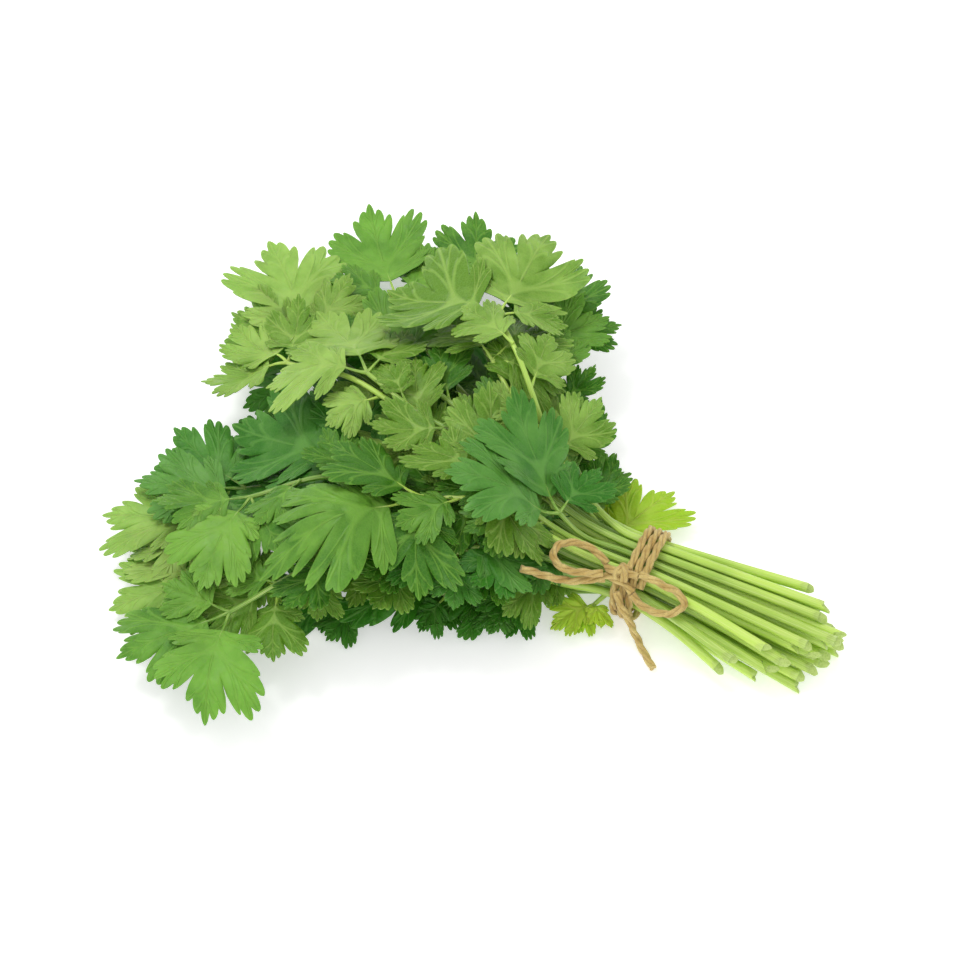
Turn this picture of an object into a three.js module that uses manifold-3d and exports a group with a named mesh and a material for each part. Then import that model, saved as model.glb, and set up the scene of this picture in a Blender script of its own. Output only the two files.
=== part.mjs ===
// A bunch of fresh coriander, laid on a surface and tied with jute twine in a bow.
//
// Millimetres, +Z up. The origin is on the surface, in the middle of the flat spot under the tie.
// +X runs along the stems towards their cut ends, and the leaves fan out towards -X.
//
// Each leafy stem is one solid: a tapered stem from its cut end, through the tie, to a fork where
// its leaflets spread. The stems lie in rows in the tie. A stem's row gives its level in the pile
// of leaves, and the levels share one undulating surface, so that they lie on each other.

import * as THREE from "three";
import { mergeVertices } from "three/addons/utils/BufferGeometryUtils.js";
import Module from "manifold-3d";

const wasm = await Module();
wasm.setup();

// Stems
const CUT_RADIUS = 1.85;
const TIE_RADIUS = 1.55;
const FORK_RADIUS = 0.85;
const TIE_SHARE = 0.3; // the share of its length at which a stem passes the tie
const STEM_SIDES = 5;
const STEM_STEPS = 8;

// The tie, and the cut ends beyond it
const COLUMN_PITCH = 4; // across a row of stems
const ROW_PITCH = 3.7; // from one row to the next
const LOWEST_STEM = 4.8; // height of the lowest row's middle
const CUT_REACH = 80; // how far past the tie the longest stems end
const CUT_PITCH = 3.9; // from one row to the next at the cut ends
const CUT_SPREAD = 1.7; // how much wider the cut ends stand than the stems in the tie
const CUT_SHIFT = -3.5; // the cut ends fan out a little to the front
const CUT_STAGGER = 4; // how much shorter every next of three stems is

// The pile of leaves
const LEAF_PITCH = 9; // from one level to the next where the pile is highest
const RIM_PITCH = 4.4; // and at its rim
const LOWEST_LEAF = 2.2; // height of the lowest level
const LEAF_LIFT = 1.6; // a blade's height over the stems of its level
const SIBLING_STEP = 1.2; // from one leaflet of a stem to the next above it
const SIBLING_ORDER = [0, -1, 1]; // a stem's leaflets, by how they lie on each other

// Leaflets
const BLADE = 0.8; // thickness
const STALK_HALF = 0.65; // half the width of a leaflet's stalk
const FAN = 1.32; // the angle between a leaflet's midrib and its lowest veins, in radians
const MIDRIB = 0.5; // how far up its length the last side veins leave the midrib
const VEIN_PACE = 0.9; // under 1, the side veins leave it closer together near its end
const SIDE_REACH = 0.7; // how long the longest side veins are, for a leaflet of length 1
const LOW_REACH = 0.64; // and the lowest ones, as a share of that
const LOBE_EDGES = [0.36, 0.8]; // where the middle lobe and the side lobes end, as shares of FAN
const LOBE_CUTS = [0.42, 0.36]; // how deep the blade is cut there
const LOW_TIP = 0.9; // the tip of the lowest lobes
const MIDDLE_TEETH = 3;
const SIDE_TEETH = 2;
const TOOTH_CUT = 0.16; // how deep the blade is cut between two teeth
const SIDE_HUB = { t: 0.58, share: 0.45 }; // the middle of a side lobe
const MIDDLE_HUB = 0.3; // how far up the middle lobe its own middle is
const CURL = 1.6; // how far a blade's sides hang, for a half width as long as the leaflet
const SLACK = 0.02; // what a joined surface may be moved by, to need fewer triangles

// Twine
const TWINE = 2.9;
const WRAP = { width: 33, height: 26.6, bend: 2.7, turns: 3, pitch: 3.1, bottom: 1 };
const WRAP_STEPS = 18; // points in a turn
const WRAP_START = 140; // a turn starts and ends in the knot, at this angle
const KNOT = { middle: [-2.6, -12, 27.2], size: [10.8, 7.5, 6.5] };
const CORD_STEP = 5.5; // the bow's tubes have a ring this often

const GREEN = { lime: 0xa9c83c, light: 0x9cc455, fresh: 0x6fae3c, deep: 0x3f8a34 };
const JUTE = 0xb8965c;

const rad = (degrees) => (degrees * Math.PI) / 180;
const mix = (a, b, t) => a + (b - a) * t;
const smooth = (t) => {
  const c = Math.min(1, Math.max(0, t));
  return c * c * (3 - 2 * c);
};

// A leafy stem. (x, y): its fork, where the leaflets spread. level: how high they lie in the pile,
// in rows. Each leaflet: heading in degrees from +X, length, length of its stalk, rise of its tip.
const stem = (x, y, level, tone, ...leaflets) => ({ fork: [x, y], level, tone, leaflets });

// The leafy stems, from the front to the back of each row, and from the lowest row up.
const ROWS = [
  [
    stem(-44, -27, 0.4, "deep", [200, 30, 6, 0], [236, 20, 5, -1], [285, 14, 4, -1]),
    stem(-92, -46, 0, "deep", [206, 30, 8, -1], [255, 18, 6, 0], [160, 26, 8, -1]),
    stem(-138, -4, 0.1, "deep", [180, 34, 8, -1], [237, 30, 8, -1], [125, 30, 8, -1]),
    stem(-18, 15, 0.1, "lime", [78, 30, 4, 1], [130, 28, 5, 1]),
  ],
  [
    stem(-12, -14, 0.4, "lime", [230, 16, 3, -1], [258, 12, 2, -2], [298, 9, 2, -2]),
    stem(-62, -36, 0.9, "deep", [200, 40, 8, 0], [255, 14, 5, -1]),
    stem(-142, -66, 1.3, "light", [222, 32, 9, -2], [178, 28, 8, -1], [272, 26, 8, -2]),
    stem(-104, -20, 0.9, "deep", [190, 30, 8, 0], [243, 26, 8, 0], [137, 28, 8, 0]),
    stem(-152, 40, 0.6, "deep", [168, 30, 8, -1], [117, 32, 8, -1], [222, 26, 8, -1]),
    stem(-92, 64, 0.3, "deep", [118, 32, 8, -1], [62, 26, 8, -1], [177, 30, 8, 0]),
  ],
  [
    stem(-116, -66, 2.3, "light", [218, 28, 8, -1], [285, 24, 7, -2], [168, 24, 7, 0]),
    stem(-154, -48, 1.8, "light", [188, 34, 8, -1], [238, 26, 7, -1], [142, 24, 7, 0]),
    stem(-120, 8, 2.3, "deep", [175, 28, 8, 0], [236, 26, 8, 0], [118, 28, 8, 0]),
    stem(-84, 28, 1.8, "fresh", [145, 30, 8, 0], [208, 26, 7, 0]),
    stem(-128, 60, 1.3, "deep", [160, 28, 8, 0], [105, 30, 8, 0], [215, 24, 7, 0]),
    stem(-67, 46, 0.95, "fresh", [76, 24, 7, -1], [28, 18, 6, -1], [128, 24, 7, 0]),
    stem(-118, 98, 1.9, "fresh", [100, 34, 9, 0], [150, 28, 8, -1], [48, 24, 7, 0]),
  ],
  [
    stem(-128, -82, 3.2, "fresh", [279, 38, 9, -4], [232, 34, 9, -5], [184, 20, 7, 0]),
    stem(-150, -28, 2.9, "deep", [202, 34, 8, 0], [164, 32, 8, 0], [262, 28, 8, -1]),
    stem(-162, 46, 3.2, "light", [130, 46, 9, 2], [183, 28, 8, 0], [80, 26, 8, 1]),
    stem(-142, 84, 2.6, "fresh", [132, 42, 9, 2], [75, 28, 8, 1], [190, 22, 7, 0]),
    stem(-78, 70, 3.4, "fresh", [58, 26, 8, 1], [105, 34, 8, 2], [8, 14, 6, 0]),
    stem(-76, 82, 2.7, "fresh", [86, 34, 8, 0], [45, 22, 8, -1], [132, 28, 8, 0]),
  ],
  [
    stem(-58, -32, 4.0, "deep", [208, 24, 7, 0], [285, 18, 6, -1], [8, 26, 6, 0]),
    stem(-142, -38, 4.1, "fresh", [264, 34, 9, -1], [312, 26, 8, -2], [214, 28, 8, 0]),
    stem(-112, -12, 3.4, "deep", [180, 46, 10, 0], [124, 28, 8, 0], [234, 28, 8, 0]),
    stem(-84, 9, 3.7, "light", [205, 32, 7, 0], [155, 26, 7, 0], [262, 22, 6, 0]),
    stem(-160, 26, 4.4, "light", [152, 28, 7, 1], [203, 26, 7, 0], [103, 25, 7, 1]),
    stem(-126, 42, 4.0, "fresh", [102, 34, 8, 4], [157, 24, 8, 1], [50, 22, 7, 1]),
    stem(-80, 42, 4.7, "light", [15, 22, 6, 0], [140, 28, 8, 1], [75, 26, 7, 1]),
  ],
  [
    stem(-78, -24, 5.0, "fresh", [231, 50, 13, -3], [285, 30, 7, -3], [178, 32, 7, 0]),
    stem(-58, -10, 5.5, "light", [107, 32, 7, 0], [325, 25, 6, -1], [165, 26, 7, 0]),
    stem(-32, -3, 6.4, "deep", [144, 36, 7, 0], [209, 34, 7, 0], [84, 20, 5, 0]),
    stem(-122, 20, 4.9, "light", [133, 40, 9, 2], [82, 26, 8, 1], [195, 30, 8, 0]),
    stem(-86, 60, 5.6, "light", [173, 44, 9, 0], [94, 46, 8, 4], [38, 20, 6, 0]),
  ],
];

// The bow, each piece by points on its middle line, from the knot outwards.
const BOW = {
  bow_loop_left: [
    [-9.2, -11, 28.5], [-15, -9, 30.5], [-22, -9.5, 32], [-27.5, -14, 33], [-27, -19.5, 32.5],
    [-22, -21.5, 31], [-15.5, -18.8, 29], [-9, -15.4, 27.8],
  ],
  bow_loop_right: [
    [3.9, -11.4, 29.3], [8, -11.2, 29.3], [14, -11.2, 28], [19.5, -11.5, 27], [22.5, -14, 24.5],
    [18.5, -18.3, 22.5], [12, -19, 21.5], [6.4, -17.9, 22], [3.4, -17, 24.4],
  ],
  tail_left: [
    [-8.4, -14.6, 24.2], [-13, -17.5, 24.4], [-18.5, -22, 26], [-25, -26, 29.5], [-30, -28.5, 32.5],
    [-35, -30.5, 34.7],
  ],
  tail_right: [
    [-2.4, -17.6, 23], [0.4, -19.8, 19], [3.6, -20.4, 14], [7.6, -21.4, 6.4], [11.8, -23.8, 1.9],
    [18, -29.2, 1.8],
  ],
};

// How far apart two levels lie, at a distance from the tie.
const spacing = (rho) =>
  mix(ROW_PITCH, LEAF_PITCH, smooth(rho / 90)) - (LEAF_PITCH - RIM_PITCH) * smooth((rho - 110) / 75);

// The height of a level of the pile over a point of the surface.
function levelHeight(x, y, level) {
  const rho = Math.hypot(x, y);
  const base = mix(LOWEST_STEM, LOWEST_LEAF, smooth(rho / 35));
  const swell = 4 * Math.sin(x / 12 + y / 21) + 3.5 * Math.sin(y / 11 - x / 26 + 1);
  return base + level * spacing(rho) + (level / 5) * swell * smooth(rho / 80);
}

// A leaflet's veins leave its midrib one after the other. t, from 1 to -1 round its edge, tells them
// apart, and is 0 at its tip. How long the vein at t is, for a leaflet of length 1.
function veinReach(t) {
  const side = Math.abs(t);
  const upper = mix(1 - MIDRIB, SIDE_REACH, smooth((side - 0.15) / 0.35));
  return upper * mix(1, LOW_REACH, smooth((side - 0.62) / 0.38));
}

// The points of a lobe's edge, at each tooth's tip and between the teeth: [t, how deep it is cut].
const lobe = (from, to, teeth, cut) => Array.from({ length: 2 * teeth }, (_, i) => [
  mix(from, to, i / (2 * teeth)),
  i === 0 ? cut : (i % 2 ? 0 : TOOTH_CUT),
]);
const [MIDDLE_EDGE, SIDE_EDGE] = LOBE_EDGES;
const [MIDDLE_CUT, SIDE_CUT] = LOBE_CUTS;
const RIM = [
  [-LOW_TIP, 0],
  ...lobe(-SIDE_EDGE, -MIDDLE_EDGE, SIDE_TEETH, SIDE_CUT),
  ...lobe(-MIDDLE_EDGE, MIDDLE_EDGE, MIDDLE_TEETH, MIDDLE_CUT),
  ...lobe(MIDDLE_EDGE, SIDE_EDGE, SIDE_TEETH, MIDDLE_CUT),
  [SIDE_EDGE, SIDE_CUT], [LOW_TIP, 0],
];

// The points of a leaflet in its own plane, along and across its stalk: its outline, and then
// the middles of its three large lobes.
function bladePoints(length, stalk) {
  const at = (t, share) => {
    const start = length * MIDRIB * (1 - Math.abs(t)) ** VEIN_PACE;
    const reach = share * length * veinReach(t);
    return [stalk + start + reach * Math.cos(t * FAN), reach * Math.sin(t * FAN)];
  };
  return [
    [0, -STALK_HALF], [stalk, -STALK_HALF],
    ...RIM.map(([t, cut]) => at(t, 1 - cut)),
    [stalk, STALK_HALF], [0, STALK_HALF],
    at(-SIDE_HUB.t, SIDE_HUB.share), at(0, MIDDLE_HUB), at(SIDE_HUB.t, SIDE_HUB.share),
  ];
}

// The triangles between those points, the same for every leaflet.
const RIM_START = 2;
const OUTLINE = RIM.length + 4;
function bladeFaces() {
  const [right, left] = [1, RIM_START + RIM.length];
  const [hubRight, hubMiddle, hubLeft] = [OUTLINE, OUTLINE + 1, OUTLINE + 2];
  const lowRight = RIM_START + 1;
  const notchRight = lowRight + 2 * SIDE_TEETH;
  const notchLeft = notchRight + 2 * MIDDLE_TEETH;
  const lowLeft = notchLeft + 2 * SIDE_TEETH;
  const faces = [
    [0, right, left], [0, left, left + 1], [right, hubMiddle, left],
    [right, RIM_START, lowRight], [right, lowRight, hubRight],
    [right, hubRight, hubMiddle], [hubRight, notchRight, hubMiddle],
    [left, lowLeft, lowLeft + 1], [left, hubLeft, lowLeft],
    [left, hubMiddle, hubLeft], [hubLeft, hubMiddle, notchLeft],
  ];
  const fan = (hub, from, to) => {
    for (let i = from; i < to; i++) faces.push([hub, i, i + 1]);
  };
  fan(hubRight, lowRight, notchRight);
  fan(hubMiddle, notchRight, notchLeft);
  fan(hubLeft, notchLeft, lowLeft);
  return faces;
}
const BLADE_FACES = bladeFaces();

// One leaflet with its stalk, lying on the leaves of its level and curling at its edge.
function leaflet(fork, level, [heading, length, stalk, rise], order) {
  const [cos, sin] = [Math.cos(rad(heading)), Math.sin(rad(heading))];
  const lift = LEAF_LIFT + order * SIBLING_STEP;
  const points = bladePoints(length, stalk).map(([along, across]) => {
    const [x, y] = [fork[0] + along * cos - across * sin, fork[1] + along * sin + across * cos];
    const out = Math.hypot(Math.max(0, along - stalk), across) / length;
    const curl = rise * out * out - CURL * (across / length) ** 2;
    const freed = smooth(Math.hypot(along, across) / (stalk + 0.3 * length));
    const height = mix(levelHeight(...fork, level), levelHeight(x, y, level) + lift + curl, freed);
    return [x, y, Math.max(BLADE / 2, height)];
  });
  const count = points.length;
  const positions = [0.5, -0.5].flatMap((side) => points.flatMap(([x, y, z]) => [x, y, z + side * BLADE]));
  const index = BLADE_FACES.flatMap(([a, b, c]) => [a, b, c, c + count, b + count, a + count]);
  for (let i = 0; i < OUTLINE; i++) {
    const next = (i + 1) % OUTLINE;
    index.push(i, i + count, next, next, i + count, next + count);
  }
  return new THREE.BufferGeometry()
    .setAttribute("position", new THREE.Float32BufferAttribute(positions, 3))
    .setIndex(index);
}

function solidOf(geometry) {
  geometry.deleteAttribute("normal");
  geometry.deleteAttribute("uv");
  const merged = mergeVertices(geometry, 1e-3);
  return new wasm.Manifold(new wasm.Mesh({
    numProp: 3,
    vertProperties: new Float32Array(merged.attributes.position.array),
    triVerts: new Uint32Array(merged.index.array),
  }));
}

function geometryOf(solid) {
  const { vertProperties, triVerts } = solid.getMesh();
  return new THREE.BufferGeometry()
    .setAttribute("position", new THREE.BufferAttribute(vertProperties, 3))
    .setIndex(new THREE.BufferAttribute(triVerts, 1));
}

// Several shapes as one solid, without the small hollows and scraps that joining them leaves.
function joined(shapes) {
  const solid = wasm.Manifold.union(shapes.map(solidOf)).simplify(SLACK);
  return solid.decompose().reduce((a, b) => (a.volume() > b.volume() ? a : b));
}

// A tube along a curve, whose radius follows radiusAt(share of its length).
function tube(curve, sides, steps, radiusAt) {
  const ring = new THREE.Shape(new THREE.EllipseCurve(0, 0, 1, 1).getPoints(sides).slice(0, -1));
  const geometry = new THREE.ExtrudeGeometry(ring, { extrudePath: curve, steps, bevelEnabled: false });
  const middles = curve.getSpacedPoints(steps);
  const place = geometry.getAttribute("position");
  const point = new THREE.Vector3();
  for (let i = 0; i < place.count; i++) {
    point.fromBufferAttribute(place, i);
    const away = middles.map((middle) => middle.distanceToSquared(point));
    const nearest = away.indexOf(Math.min(...away));
    point.sub(middles[nearest]).multiplyScalar(radiusAt(nearest / steps)).add(middles[nearest]);
    place.setXYZ(i, point.x, point.y, point.z);
  }
  return geometry;
}

// The route of a stem from its cut end, through its place in the tie, to its fork.
function stemRoute(row, column, count, { fork, level }) {
  const across = (column - (count - 1) / 2) * COLUMN_PITCH;
  const height = LOWEST_STEM + row * ROW_PITCH;
  const cutAcross = CUT_SHIFT + across * CUT_SPREAD;
  const cutReach = CUT_REACH - 0.05 * cutAcross ** 2 - CUT_STAGGER * ((row + column * 2) % 3);
  const cutHeight = CUT_RADIUS + row * CUT_PITCH;
  const points = [
    [cutReach, cutAcross, cutHeight],
    [cutReach * 0.45, mix(across, cutAcross, 0.38), mix(height, cutHeight, 0.4)],
    [0, across, height],
    [-10, across, height + 0.1 * row],
  ];
  const bend = [fork[0] * 0.6, fork[1] * 0.28 + across * 0.3];
  for (const t of [0.12, 0.3, 0.5, 0.75, 1]) {
    const x = (1 - t) ** 2 * -10 + 2 * t * (1 - t) * bend[0] + t * t * fork[0];
    const y = (1 - t) ** 2 * across + 2 * t * (1 - t) * bend[1] + t * t * fork[1];
    const settled = Math.max(smooth((Math.hypot(x, y) - 25) / 50), smooth((t - 0.6) / 0.4));
    points.push([x, y, levelHeight(x, y, mix(row, level, settled))]);
  }
  return new THREE.CatmullRomCurve3(points.map((p) => new THREE.Vector3(...p)), false, "centripetal");
}

const stemRadius = (share) => (share < TIE_SHARE
  ? mix(CUT_RADIUS, TIE_RADIUS, share / TIE_SHARE)
  : mix(TIE_RADIUS, FORK_RADIUS, (share - TIE_SHARE) / (1 - TIE_SHARE)));

function leafyStem(row, column, count, plan) {
  const route = stemRoute(row, column, count, plan);
  const blades = plan.leaflets.map((shape, i) => leaflet(plan.fork, plan.level, shape, SIBLING_ORDER[i]));
  return joined([tube(route, STEM_SIDES, STEM_STEPS, stemRadius), ...blades]);
}

// One turn of the twine round the stems. The middle turn's lowest point is over the origin.
function wrapTurn(turn) {
  const power = (v) => Math.sign(v) * Math.abs(v) ** (2 / WRAP.bend);
  const points = Array.from({ length: WRAP_STEPS + 1 }, (_, i) => {
    const angle = WRAP_START + (i / WRAP_STEPS) * 360;
    const x = (turn - (WRAP.turns - 1) / 2 + (angle - 270) / 360) * WRAP.pitch;
    const z = WRAP.bottom + (WRAP.height / 2) * (1 + power(Math.sin(rad(angle))));
    return new THREE.Vector3(x, (WRAP.width / 2) * power(Math.cos(rad(angle))), z);
  });
  return tube(new THREE.CatmullRomCurve3(points), 6, WRAP_STEPS, () => TWINE / 2);
}

// The wound turns and the knot on them. Their underside is cut flat where they rest.
function twineWrap() {
  const knot = new THREE.SphereGeometry(0.5, 8, 6).scale(...KNOT.size).translate(...KNOT.middle);
  const turns = Array.from({ length: WRAP.turns }, (_, turn) => wrapTurn(turn));
  const ground = new THREE.BoxGeometry(60, 60, 10).translate(0, 0, -5);
  return joined([knot, ...turns]).subtract(solidOf(ground));
}

function cord(points) {
  const route = new THREE.CatmullRomCurve3(points.map((p) => new THREE.Vector3(...p)));
  return solidOf(tube(route, 8, Math.round(route.getLength() / CORD_STEP), () => TWINE / 2));
}

function piece(name, solid, color, roughness) {
  const material = new THREE.MeshStandardMaterial({ color, roughness, metalness: 0 });
  const mesh = new THREE.Mesh(geometryOf(solid), material);
  mesh.name = name;
  return mesh;
}

const bunch = new THREE.Group();
ROWS.forEach((plans, row) => plans.forEach((plan, column) => {
  const name = `leafy_stem_${String(bunch.children.length + 1).padStart(2, "0")}`;
  bunch.add(piece(name, leafyStem(row, column, plans.length, plan), GREEN[plan.tone], 0.55));
}));
bunch.add(piece("twine_wrap", twineWrap(), JUTE, 0.95));
for (const [name, points] of Object.entries(BOW)) bunch.add(piece(name, cord(points), JUTE, 0.95));

export default bunch;
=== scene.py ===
"""A bunch of fresh coriander, laid on a surface and tied with jute twine in a bow.

Places and sizes are in millimetres, in the frame's axes, and MM turns them to metres. The routes and
the pile's level surfaces are those of the solids, so that each finer piece lies where its solid does.
"""

import math

import bmesh
import bpy
from mathutils import Euler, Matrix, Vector


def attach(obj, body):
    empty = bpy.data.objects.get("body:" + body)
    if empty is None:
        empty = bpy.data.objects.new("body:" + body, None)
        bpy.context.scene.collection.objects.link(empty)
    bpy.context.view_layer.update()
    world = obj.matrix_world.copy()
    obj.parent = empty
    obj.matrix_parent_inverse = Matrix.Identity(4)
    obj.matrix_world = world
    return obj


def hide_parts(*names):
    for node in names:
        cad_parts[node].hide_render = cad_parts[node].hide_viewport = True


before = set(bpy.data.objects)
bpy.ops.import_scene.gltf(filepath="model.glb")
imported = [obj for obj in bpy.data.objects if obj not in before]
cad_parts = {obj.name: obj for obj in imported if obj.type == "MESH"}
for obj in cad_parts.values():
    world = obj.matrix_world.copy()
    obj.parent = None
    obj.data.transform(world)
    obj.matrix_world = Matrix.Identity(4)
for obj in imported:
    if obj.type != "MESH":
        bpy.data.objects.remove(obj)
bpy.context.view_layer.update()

MM = 0.001

# View
CAMERA = {"azimuth": 25, "elevation": 52, "distance": 1000, "lens": 100, "target": (-63.3, -0.5, 33.6)}

# Stems
CUT_RADIUS = 1.85
TIE_RADIUS = 1.55
FORK_RADIUS = 0.85
TIE_SHARE = 0.3  # the share of its length at which a stem has the radius that it has in the tie
RIBS = 6  # soft ridges along a stem
RIB_DEPTH = 0.05  # as a share of the radius
CUT_SLANT = 2.8  # how far a cut end leans, in radii
CUT_RINGS = ((0.2, 0.05), (0.25, -0.5))  # the rings of a cut end: each one's width in radii, and its rise

# The tie, and the cut ends beyond it
COLUMN_PITCH = 4  # from one stem to the next in the tie, to the side
ROW_PITCH = 3.7  # and upwards
LOWEST_STEM = 4.8  # the height of the lowest row's middle in the tie
CUT_REACH = 80  # how far beyond the tie the furthest cut ends are
CUT_PITCH = 3.9  # from one row of cut ends to the next, upwards
CUT_SPREAD = 1.7  # how many times further apart they are to the side than in the tie
CUT_SHIFT = -3.5  # how far to the side their middle is
CUT_ROUND = 0.05  # how much nearer the outer cut ends are, times the square of their way to the side
CUT_STAGGER = 4  # of three neighbours one is shorter by this, and one by twice this
CUT_SWAY = 1.3  # how far a stem's free end strays to the side
HALF_WAY = {"reach": 0.45, "spread": 0.38, "rise": 0.4, "sway": 0.4}  # of the way to a cut end

# From the tie to the forks
BEHIND_TIE = -10  # as far as this along x the stems run straight
FANNING = 0.1  # how much higher each row is there than in the tie
BEND_AT = {"x": 0.6, "y": 0.28, "across": 0.3}  # shares of the fork's place, and of that in the tie
BEND_STEPS = (0.12, 0.3, 0.5, 0.75, 1)
LEAVING = (25, 75)  # so far from the tie a stem goes from its row to its level in the pile
ARRIVING = (0.6, 1)  # and by these shares of its bend at the latest

# The pile's levels. Each pair is distances from the tie, between which something comes about.
LEAF_PITCH = 9  # from one level to the next in the middle of the pile
RIM_PITCH = 4.4  # and at its rim
LOWEST_LEAF = 2.2  # the height of the lowest level there
SPREADING = (0, 90)  # the levels move apart, from ROW_PITCH to LEAF_PITCH
CLOSING = (110, 185)  # they close up again, to RIM_PITCH
SINKING = (0, 35)  # the lowest level comes down to the surface
SWELLING = (0, 80)  # the humps grow
HUMPS = ((0.8, 12, 21, 0), (0.7, -26, 11, 1))  # the rise for each level, the lengths in x and y, the start
LEAF_LIFT = 1.6  # how far over its level a leaflet lies
SIBLING_STEP = 1.2  # the leaflets of one fork lie over each other by this
SIBLING_ORDER = (0, -1, 1)  # and in this order, from the first leaflet of a plan to its third
HIGHEST = 60.6  # no leaf stands higher than this

# Leaflets. Their edge has a place t: 0 at the tip, and 1 or -1 where the lowest veins end.
BLADE = 0.3  # thickness
LOWEST_BLADE = 1.1 * BLADE  # no upper face lies lower than this
FAN = 1.32  # the angle between a leaflet's midrib and its lowest veins, in radians
MIDRIB = 0.5  # how far up its length the last side veins leave the midrib
VEIN_PACE = 0.9  # under 1, the side veins leave it closer together near its end
SIDE_REACH = 0.7  # how long the longest side veins are, for a leaflet of length 1
LOW_REACH = 0.64  # and the lowest ones, as a share of that
SIDE_VEINS = (0.15, 0.5)  # between these t the veins get as long as SIDE_REACH
LOW_VEINS = (0.62, 1)  # and between these they shorten again, by LOW_REACH
MIDDLE, LOW = 0.36, 0.8  # the middle lobe ends at this t, and the lowest lobes begin at that
LOBES = (  # from, to, teeth
    (1, LOW, 3), (LOW, MIDDLE, 5), (MIDDLE, -MIDDLE, 5), (-MIDDLE, -LOW, 5), (-LOW, -1, 3),
)
TEETH = sum(teeth for _, _, teeth in LOBES)
CUTS = (  # where the blade is cut in, how deep, and how much deeper in the largest leaflets
    (MIDDLE, 0.42, 0.2), (LOW, 0.38, 0.14), (0.216, 0, 0.32), (0.536, 0, 0.45),
)
LARGEST = (44, 50)  # the lengths from which, and at which, those deeper cuts come
CLEFT = 0.1  # how wide a cut opens to each side, in t
TOOTH = 0.14  # how deep the edge is cut between two teeth, as a share of the vein's length there
TOOTH_BEND = 2.4  # how round a tooth is: 1 is pointed
TOOTH_TIP = 1.06  # how far the tip of a tooth reaches, as a share of the vein's length
LOBE_ROUND = 0.16  # how much shorter a lobe is at its sides than in its middle
CURL = 1.6  # how far a blade's sides hang, for a half width as long as the leaflet
FREED = 0.3  # within its stalk and this share of its length a leaflet leaves the height of its fork
WAVES = 30  # the longest leaflet whose waves and tilts grow with its length
RUFFLE = 0.05  # how high the waves of its edge are, for a leaflet of length 1
RUFFLES = 5  # how fast they follow each other, in radians for each t
QUILTING = 0.7  # how far the blade swells between the main veins
LEAF_SHADE_NEAR_TIE = (-145, -85)  # painted shade: leaves are darker the nearer their fork is to the tie, in the middle of the pile; none before the first of these places along x, full from the second
LARGE_BLADE = {"rings": 7, "columns_per_tooth": 6, "ribbed_lobes": (1, 2, 3)}
SMALL_BLADE = {"rings": 4, "columns_per_tooth": 4, "ribbed_lobes": (2,)}
RIB_RADII = (0.22, 0.08)  # of a raised main vein, at its foot and at its end
STALK_RADII = (0.775, 0.155)  # of a leaflet's stalk at its fork, and of the midrib at its end

# How much one leaflet differs from the next
UNEVEN_CUTS = 0.25  # as a share of their depth
UNEVEN_TEETH = 0.3  # as a share of theirs
UNEVEN_SIDES = 0.1  # as a share of their width
FOLD = 0.12  # how steeply its two sides rise or hang
ROLL = 0.13  # how steeply it leans to one side
BEND = 0.14  # how far its tip strays to the side, for a leaflet of length 1
TILT = 0.06  # how far a lobe's tip is raised, for a leaflet of length 1

# Small side leaflets along the stems. The turn, length and rise are each a usual value, and how far
# it varies.
SIDE_SHARES = (0.37, 0.43, 0.5, 0.57, 0.65, 0.73, 0.81, 0.9)  # where along its stem each of them is
SIDE_TURN = (48, 20)  # the angle between a leaflet and its stem, in degrees
SIDE_LENGTH = (20, 5)
SIDE_RISE = (3, 3)  # of its tip
SIDE_STALK = 5
SIDE_ORDER = 0.5  # those of one side lie this much of a SIBLING_STEP higher, and the others lower
BARE_REACH = (22, 30)  # how far from the tie the first of them is, in the lowest row and in the top one
TOP_LEVEL = 4.8  # side leaflets above this level lie flat
RISING = (30, 60)  # between these distances from the tie the others begin to rise
LEVELLING = (100, 150)  # and between these they lie flatter again

# Twine
TWINE = 2.9  # the width of the twine over its plies
PLIES = 3
LAY = 19  # the length in which a ply goes once round
PLY_FULLNESS = (1.14, 0.07)  # a ply's radius over that of three which just touch, and how far it varies
PLY_WAVES = 1.1  # how fast it varies along the twine, in radians for each millimetre
FIBRE_PITCH = 0.9  # a loose fibre stands off this often
FIBRE_RADII = (0.045, 0.0135)  # at its root and at its end
FIBRE_ROOT = 0.4  # how far off the twine's middle it starts, in diameters of the twine
FIBRE_LEAN = 3  # how far it runs along the twine
FIBRE_RISE = (0.6, 0.5)  # how far its end stands off, and how far that varies
FIBRE_ARCH = 0.3  # how much its middle bends outwards
# One turn round the stems: with a bend of 2 it is an oval, and over 2 it gets squarer.
WRAP = {"width": 33, "height": 26.6, "bend": 2.7, "turns": 3, "pitch": 3.1, "bottom": 1}
WRAP_POINTS = 18  # so many parts of a turn are worked out
WRAP_START, WRAP_BOTTOM = 140, 270  # where a turn starts, and where it is lowest, in degrees
KNOT = (-2.6, -12, 27.2)
KNOT_POINTS = 12
KNOT_SHAPE = (0.85, 0.8)  # how deep and how high a turn of the knot is, for its radius
KNOT_TURNS = ((0.5, 0.3, 3.1), (-0.6, -0.5, 2.7))  # how far each leans and swings along x, and its radius
KNOT_STRANDS = (  # from the knot's middle
    ((-6.5, 0, 0.5), (-3, -1, 1.4), (3, 0, 1.2), (6.2, 0, 1.6)),
    ((-6, -2, -2.2), (-2, -2.6, -1), (3, -3, -2), (6, -4.4, -3)),
)
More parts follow.
